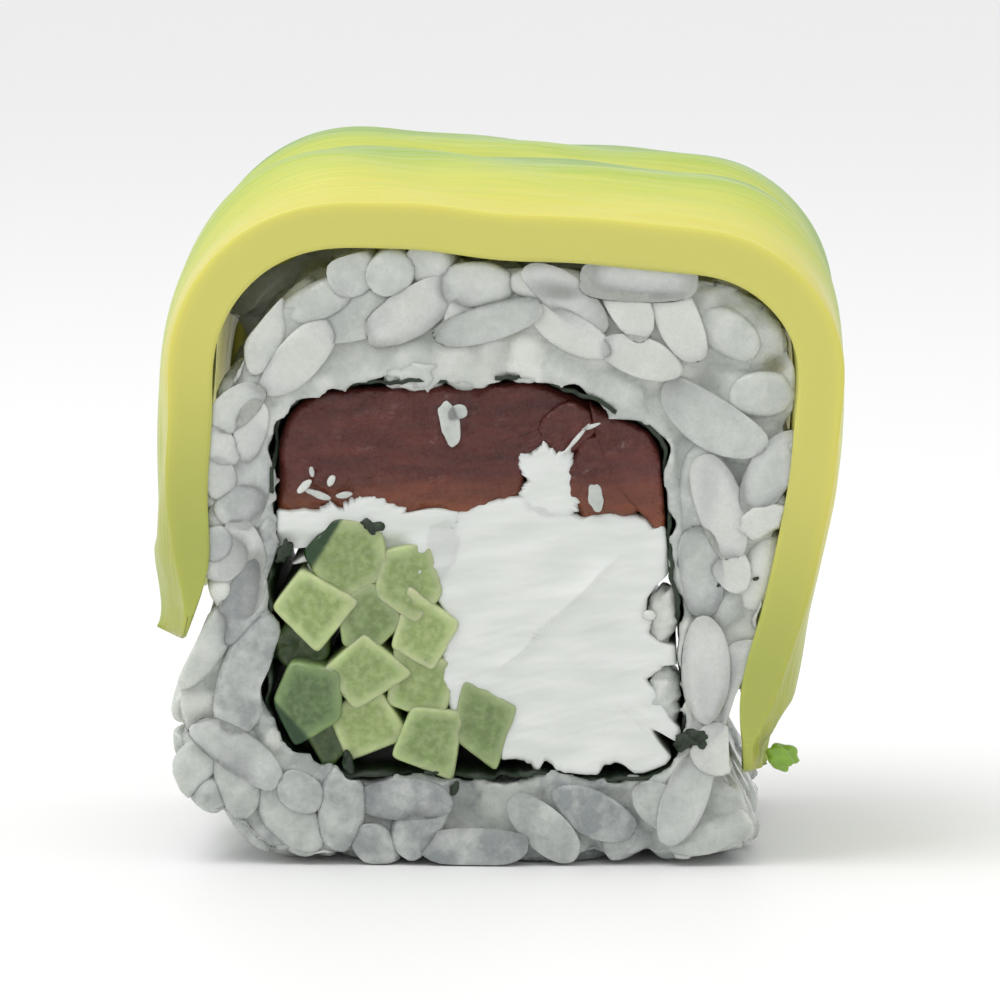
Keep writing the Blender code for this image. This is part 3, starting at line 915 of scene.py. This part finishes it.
rice_finish, tree, shader = new_material(
    "cooked rice", 0.30,
    Subsurface_Weight=0.6, Subsurface_Scale=0.0009, Subsurface_Radius=(1.0, 0.97, 0.88),
)
tone, seam_shade, pit_reflection_and_shade = (attribute(tree, key) for key in ("tone", "seam_shade", "pit_reflection_and_shade"))
starch = noise(tree, 0.7, 4.0, rough=0.6)
stops = [(0.0, (0.26, 0.285, 0.285)), (0.5, (0.48, 0.51, 0.475)), (1.0, (0.66, 0.68, 0.62))]
milky = remap(tree, starch, 0.40, 0.68, 0.0, 0.6)
colour = mixed(tree, milky, ramp(tree, tone, stops), (0.66, 0.68, 0.64))
# The seams between the grains are painted darker, as painted shade in the creases
sunk = add_node(tree, "Math", {0: seam_shade, 1: 0.38}, operation="MULTIPLY").outputs[0]
colour = mixed(tree, sunk, colour, (0.27, 0.29, 0.26))
# The pits are painted yellowish and darker: a painted reflection of the avocado and painted shade
colour = mixed(tree, pit_reflection_and_shade, colour, (0.46, 0.43, 0.25))
fine = noise(tree, 2.2, 3.0)
tree.links.new(remap(tree, fine, 0.4, 0.65, 0.16, 0.42), shader.inputs["Roughness"])
dress(tree, shader, colour, fine, 0.10)

rice = make_solid("rice_pressed", rice_points, [rice_quads], values)
place(rice, rice_finish, "rice", "rice")

# The grains that still stand out of the pressed rice: most of those that touch its surface, but
# few where the knife has wiped it along the nori
angle, reach = polar(grains)
to_surface = np.minimum(rice_reach(angle, grains[..., 1]) - reach, grains[..., 1] - FRONT)
to_surface = np.minimum(to_surface, BACK - grains[..., 1]).min(axis=1)
angle, reach = polar(centres)
in_wipe = (reach - rice_hole(angle, centres[:, 1]) < 2.3) & (centres[:, 2] > 24.0)
whole = (to_surface < 0.35) & ~in_wipe & (chance.uniform(0, 1, len(centres)) < SHARE_OF_WHOLE_GRAINS)
whole[: len(FRONT_GRAINS)] = True
values = {"tone": np.repeat(grain_tones_and_low_shade[whole], grains.shape[1])}
rows = grain_faces(whole.sum(), GRAIN_COLUMNS, GRAIN_ROWS)
whole_grains = make_solid("rice_grains", grains[whole].reshape(-1, 3), rows, values)
place(whole_grains, rice_finish, "rice")


def lay_bits(rows, depth):
    """Bits on the front cut face, from their rows: their middles, their axes and their half sizes."""
    across, up, lean, length, width = np.array(rows).T[:5]
    lean = np.radians(lean)
    middles = np.stack([across, FRONT + depth + 0 * lean, up], axis=1)
    axes = np.stack([np.cos(lean), 0 * lean, np.sin(lean)], axis=1)
    return middles, axes, np.stack([length, width, width], axis=1)


# Loose bits of rice that the knife dragged on to the front cut face: across, up, lean in degrees,
# half length, half width, and how far behind the cut plane the middle lies
CRUMBS = [
    (9.5, 9.6, 86, 1.8, 1.0, 1.3), (9.5, 14.3, 82, 1.7, 0.9, 1.2), (8.7, 14.4, 0, 0.4, 0.3, 0.3),
    (-4.4, 28.0, 6, 1.7, 0.95, 0.9), (-1.5, 27.8, 0, 1.3, 0.75, 1.0), (1.6, 28.0, -8, 1.0, 0.5, 0.8),
    (-2.5, 25.3, 104, 1.25, 0.55, 0.1), (-2.1, 25.9, 20, 0.6, 0.4, 0.1),
    (5.7, 21.1, 96, 0.85, 0.4, 0.1), (15.0, 19.8, 24, 1.5, 0.95, 0.6),
    (-10.7, 21.7, 40, 0.55, 0.2, 0.2), (-9.9, 21.2, 160, 0.7, 0.2, 0.2),
    (-9.2, 22.0, 60, 0.35, 0.2, 0.2), (-8.5, 21.2, 10, 0.5, 0.18, 0.2),
    (-10.3, 22.5, 100, 0.3, 0.15, 0.2), (4.6, 24.4, 50, 1.1, 0.12, 0.15),
    (5.4, 25.1, 20, 0.6, 0.12, 0.15),
]
middles, ways, half = lay_bits(CRUMBS, np.array(CRUMBS)[:, 5])
crumbs = shape_grains(middles, ways, half, chance, BIT_COLUMNS, BIT_ROWS)
crumbs += 0.10 * ripple(crumbs, 0.9, 77)[..., None] * (crumbs - middles[:, None])
crumbs[..., 1] = FRONT + soft_floor(crumbs[..., 1] - FRONT, 0.05)
values = {"tone": np.repeat(chance.uniform(0.3, 0.8, len(crumbs)), crumbs.shape[1])}
faces = grain_faces(len(crumbs), BIT_COLUMNS, BIT_ROWS)
loose = make_solid("rice_crumbs", crumbs.reshape(-1, 3), faces, values)
place(loose, rice_finish, "rice")

# Torn flecks of nori that stick to the rice: across, up, lean in degrees, half length and width
FLECKS = [
    (11.0, 7.3, 24, 0.85, 0.5), (11.8, 7.0, 150, 0.4, 0.3), (12.7, 16.2, 40, 0.28, 0.14),
    (14.7, 16.5, 10, 0.2, 0.12), (-2.2, 4.6, 80, 0.4, 0.22), (-3.4, 5.4, 10, 0.5, 0.2),
    (-11.9, 17.9, 60, 0.7, 0.35), (-6.9, 19.4, 160, 0.75, 0.35), (-8.3, 5.9, 100, 0.6, 0.3),
]
middles, ways, half = lay_bits(FLECKS, FLECK_DEPTH)
flecks = shape_grains(middles, ways, half, chance, BIT_COLUMNS, BIT_ROWS)
flecks += 0.28 * ripple(flecks, 0.6, 79)[..., None] * (flecks - middles[:, None])
faces = grain_faces(len(flecks), BIT_COLUMNS, BIT_ROWS)
torn = make_solid("nori_flecks", flecks.reshape(-1, 3), faces)
place(torn, nori_finish, "nori")


# ---------------------------------------------------------------- avocado
# Three slices of ripe avocado, draped over the rice and pressed on with the mat. Each is thin and
# buttery yellow on its seed side, and thick and green on its skin side, which lies on the next
# slice. The knife has cut the first and the last one across.

DRAPE = [
    (-17.7, 12.7, 0.0), (-16.2, 17.2, 6.0), (-15.8, 35.7, 7.6), (17.1, 33.1, 8.4),
    (16.7, 22.5, 16.0), (13.8, 9.0, 8.0), (14.3, 5.2, 0.0),
]
SLICE_WIDTH, SLICE_PITCH, FIRST_MIDDLE = 16.0, 12.0, -9.5
SEED_EDGE, SLICE_THICKNESS = 1.0, 2.7
SKIN_EDGE_ROUND, SEED_EDGE_ROUND = 1.4, 0.5
SIDE_CLIMB = 2.05
# Of each slice: name, climb on top, tucked in at the sides, flare at the left and right, and
# how much of the line it leaves bare at the left and at the right end
SLICES = [
    ("avocado_front", 2.6, False, (0.5, 0.15), 0.0, 0.0),
    ("avocado_middle", 3.0, True, (0.4, 0.0), 1.5, 3.0),
    ("avocado_back", 2.6, True, (0.4, 0.0), 0.5, 4.5),
]


def drape_line(steps=24):
    """The line under the slices: straight runs joined by arcs of the corners' radii."""
    points = np.array([corner[:2] for corner in DRAPE])
    rows = [points[:1]]
    for before, corner, after, bend in zip(points, points[1:], points[2:], DRAPE[1:-1]):
        back, ahead = before - corner, after - corner
        lengths = np.linalg.norm(back), np.linalg.norm(ahead)
        back, ahead = back / lengths[0], ahead / lengths[1]
        half = math.acos(back @ ahead) / 2
        reach = min(bend[2] / math.tan(half), 0.49 * min(lengths))
        radius = reach * math.tan(half)
        middle = (back + ahead) / np.linalg.norm(back + ahead)
        hub = corner + middle * radius / math.sin(half)
        start, end = corner + back * reach - hub, corner + ahead * reach - hub
        sweep = math.pi - 2 * half
        share = np.linspace(0, 1, steps)[:, None]
        arc = np.sin((1 - share) * sweep) * start + np.sin(share * sweep) * end
        rows.append(hub + arc / math.sin(sweep))
    return np.vstack([*rows, points[-1:]])


def slice_surface(number, stations=260, top=64, face=8, under=30):
    """A slice as a grid: stations along its length by points round its section.

    From the seed side its thickness climbs to full, and from a quarter of its width on it climbs
    on to the next slice. Both edges are rounded, and the ends get narrow and thin.
    """
    top_climb, tucked, flares, left_bare, right_bare = SLICES[number][1:]
    line = drape_line()
    length = np.concatenate([[0.0], np.cumsum(np.linalg.norm(np.diff(line, axis=0), axis=1))])
    spot = np.linspace(left_bare, length[-1] - right_bare, stations)
    spine = np.stack([np.interp(spot, length, line[:, i]) for i in (0, 1)], axis=1)
    kernel = np.hanning(17) / np.hanning(17).sum()
    padded = np.pad(spine, ((8, 8), (0, 0)), "reflect", reflect_type="odd")
    spine = np.stack([np.convolve(padded[:, i], kernel, "valid") for i in (0, 1)], axis=1)
    heading = np.gradient(spine, axis=0)
    heading /= np.linalg.norm(heading, axis=1, keepdims=True)
    outwards = np.stack([-heading[:, 1], heading[:, 0]], axis=1)
    from_middle = 2 * spot / length[-1] - 1
    from_end = np.minimum(spot - spot[0], spot[-1] - spot)
    width = np.maximum(np.sqrt(np.maximum(1 - from_middle**4, 0)), 0.40)
    width *= 0.3 + 0.7 * np.sqrt(1 - np.clip(1 - from_end / 2.6, 0, 1) ** 2)
    taper = 0.35 + 0.65 * smooth(from_end / 5.0)
    on_top = np.clip(outwards[:, 1], 0, 1) ** 2
    flare = np.where(outwards[:, 0] < 0, *flares)
    tuck = tucked * (SIDE_CLIMB - flare) * smooth((width - 0.62) / 0.25)
    climb = flare + tuck + (top_climb - flare - tuck) * on_top
    tuck = tuck * (1 - on_top)
    width, taper, climb, tuck = (v[:, None] for v in (width, taper, climb, tuck))

    middle = FIRST_MIDDLE + number * SLICE_PITCH
    first = np.clip(middle - SLICE_WIDTH / 2 * width, FRONT, BACK - 0.4)
    last = np.clip(middle + SLICE_WIDTH / 2 * width, FRONT + 0.4, BACK)

    over, back = (
        0.5 - 0.5 * np.cos(np.linspace(*turn)) for turn in ((0, math.pi, top), (math.pi, 0, under))
    )
    rise = np.linspace(0, 1, face + 2)[1:-1]
    share = np.concatenate([0 * rise, over, 1 + 0 * rise, back])
    height = np.concatenate([rise, np.ones(top), rise[::-1], np.zeros(under)])
    along = first + (last - first) * share
    from_seed = SLICE_WIDTH / 2 + (along - middle) / width
    thick = SEED_EDGE + (SLICE_THICKNESS - SEED_EDGE) * smooth(from_seed / 6.0)
    skin = np.clip((from_seed - SLICE_WIDTH + SKIN_EDGE_ROUND) / SKIN_EDGE_ROUND, 0, 1)
    seed = np.clip((SEED_EDGE_ROUND - from_seed) / SEED_EDGE_ROUND, 0, 1)
    rounded = thick * np.sqrt(np.maximum(1 - skin**2, 0)) * np.sqrt(np.maximum(1 - seed**2, 0))
    rounded = np.maximum(rounded, 0.02)
    lift = climb * smooth((from_seed - 4.0) / 7.0) - tuck
    lift = lift + (thick - rounded) / 2 * taper + rounded * taper * height
    depth = 1 - height + 0 * lift

    at = spot[:, None] + 0 * lift
    lump = ripple(np.stack([at / 9, along / 5], axis=-1), 1.0, 50 + number)
    comb = ripple(np.stack([at / 16, from_seed / 1.1], axis=-1), 1.0, 55 + number)
    to_end = np.exp(-(spot[-1] - spot)[:, None] / 3.0)
    strands = ripple(np.stack([at / 9, along / 0.9, lift / 0.9], axis=-1), 1.0, 60)
    lift = lift + 0.10 * lump + 0.025 * comb * (depth < 0.5) + 0.16 * strands * to_end
    across = spine[:, :1] + outwards[:, :1] * lift
    up = spine[:, 1:] + outwards[:, 1:] * lift
    grid = np.stack([across, along, up], axis=-1)
    uv = np.stack([at, from_seed], axis=-1) / 10
    # The ends of each slice are greener flesh, and also darker as painted shade where they reach down
    # the sides
    end_green_and_shade = 0.75 * smooth((19.0 - from_end[:, None]) / 14.0) + 0 * lift
    values = {"seed": from_seed / SLICE_WIDTH, "depth": depth, "end_green_and_shade": end_green_and_shade}
    return grid, values, uv


avocado_finish, tree, shader = new_material(
    "avocado flesh", 0.32,
    Subsurface_Weight=0.35, Subsurface_Scale=0.0016, Subsurface_Radius=(1.0, 0.9, 0.25),
)
seed, depth, end_green_and_shade = (attribute(tree, key) for key in ("seed", "depth", "end_green_and_shade"))
slice_map = add_node(tree, "UVMap", uv_map="slice").outputs[0]
lengthwise = add_node(tree, "Mapping", {"Vector": slice_map, "Scale": (0.55, 9.0, 1.0)}).outputs[0]
streaks = add_node(tree, "TexNoise", {"Vector": lengthwise, "Scale": 3.0, "Detail": 4.0}).outputs["Fac"]
wander = add_node(tree, "Math", {0: streaks, 1: 0.5}, operation="SUBTRACT").outputs[0]
wander = add_node(tree, "Math", {0: wander, 1: 0.22, 2: seed}, operation="MULTIPLY_ADD").outputs[0]
flesh_stops = [
    (0.20, (0.66, 0.58, 0.12)), (0.40, (0.64, 0.62, 0.13)), (0.54, (0.54, 0.59, 0.11)),
    (0.70, (0.33, 0.48, 0.07)), (0.95, (0.17, 0.33, 0.03)),
]
flesh = ramp(tree, wander, flesh_stops)
pale_stops = [(0.3, (0.58, 0.56, 0.135)), (0.8, (0.44, 0.46, 0.10)), (1.0, (0.20, 0.32, 0.04))]
pale_flesh = ramp(tree, seed, pale_stops)
colour = mixed(tree, remap(tree, depth, 0.0, 0.25, 0.0, 0.8), flesh, pale_flesh)
# The ends are mixed towards dark green: greener flesh and painted shade
colour = mixed(tree, end_green_and_shade, colour, (0.30, 0.36, 0.06))
dress(tree, shader, colour, streaks, 0.10)

for number, (name, *_) in enumerate(SLICES):
    grid, values, uv = slice_surface(number)
    piece = make_skin(name + "_slice", grid, values=values, uv=uv)
    place(piece, avocado_finish, "avocado", name)

# A torn green bit at the lower right end of the first slice: across, along, up and half sizes
TORN_BIT = np.array([(16.2, FRONT + 1.2, 6.2), (0.9, 0.7, 0.75)])
bit = shape_grains(
    TORN_BIT[:1], np.array([[0.8, 0.1, -0.5]]), TORN_BIT[1:], np.random.default_rng(3), 24, 16
)
bit += 0.22 * ripple(bit, 0.8, 78)[..., None] * (bit - TORN_BIT[0])
values = {"seed": np.full(bit.shape[1], 0.9), "depth": np.zeros(bit.shape[1])}
uv = (bit[0] - TORN_BIT[0])[:, (0, 2)] / 10
torn = make_solid("avocado_scrap", bit[0], grain_faces(1, 24, 16), values, uv)
place(torn, avocado_finish, "avocado")


# ---------------------------------------------------------------- table and light
# A plain white table that runs on out of sight, one large soft light at the upper left, and a
# pale sky all round. The camera stands a hand's width above the table, as a guest would look.

FLOOR_SIZE = 6.0
floor_mesh = bpy.data.meshes.new("table")
half = FLOOR_SIZE / 2
floor_corners = [(-half, -half, 0), (half, -half, 0), (half, half, 0), (-half, half, 0)]
floor_mesh.from_pydata(floor_corners, [], [(0, 1, 2, 3)])
link("table", floor_mesh)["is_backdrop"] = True
floor_finish, tree, shader = new_material("white table", 0.5)
shader.inputs["Base Color"].default_value = (0.90, 0.90, 0.90, 1.0)
floor_mesh.materials.append(floor_finish)

world = bpy.data.worlds.new("pale studio")
world.use_nodes = True
world.node_tree.nodes["Background"].inputs["Color"].default_value = (1.0, 1.0, 1.0, 1.0)
world.node_tree.nodes["Background"].inputs["Strength"].default_value = 0.92
bpy.context.scene.world = world


def look_from(name, data, place_m, aim_m):
    """A lamp or a camera that stands at one point and looks at another."""
    made = link(name, data)
    made.location = place_m
    across, along, up = np.array(aim_m) - np.array(place_m)
    made.rotation_euler = (math.atan2(np.hypot(across, along), -up), 0, math.atan2(-across, along))
    return made


window = bpy.data.lights.new("window", "AREA")
window.size, window.energy = 0.35, 1.4
look_from("window", window, (-0.22, -0.12, 0.55), (0.0, 0.0, 0.02))

lens = bpy.data.cameras.new("camera")
lens.lens, lens.clip_start = 210, 0.01
camera = look_from("camera", lens, (0.0083, -0.3385, 0.059), (0.0, 0.0, 0.0195))
bpy.context.scene.camera = camera
bpy.context.scene.view_settings.view_transform = "Standard"

sizes = {"cad": [list(v) for v in cad_box], "visual": [list(v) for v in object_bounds()]}
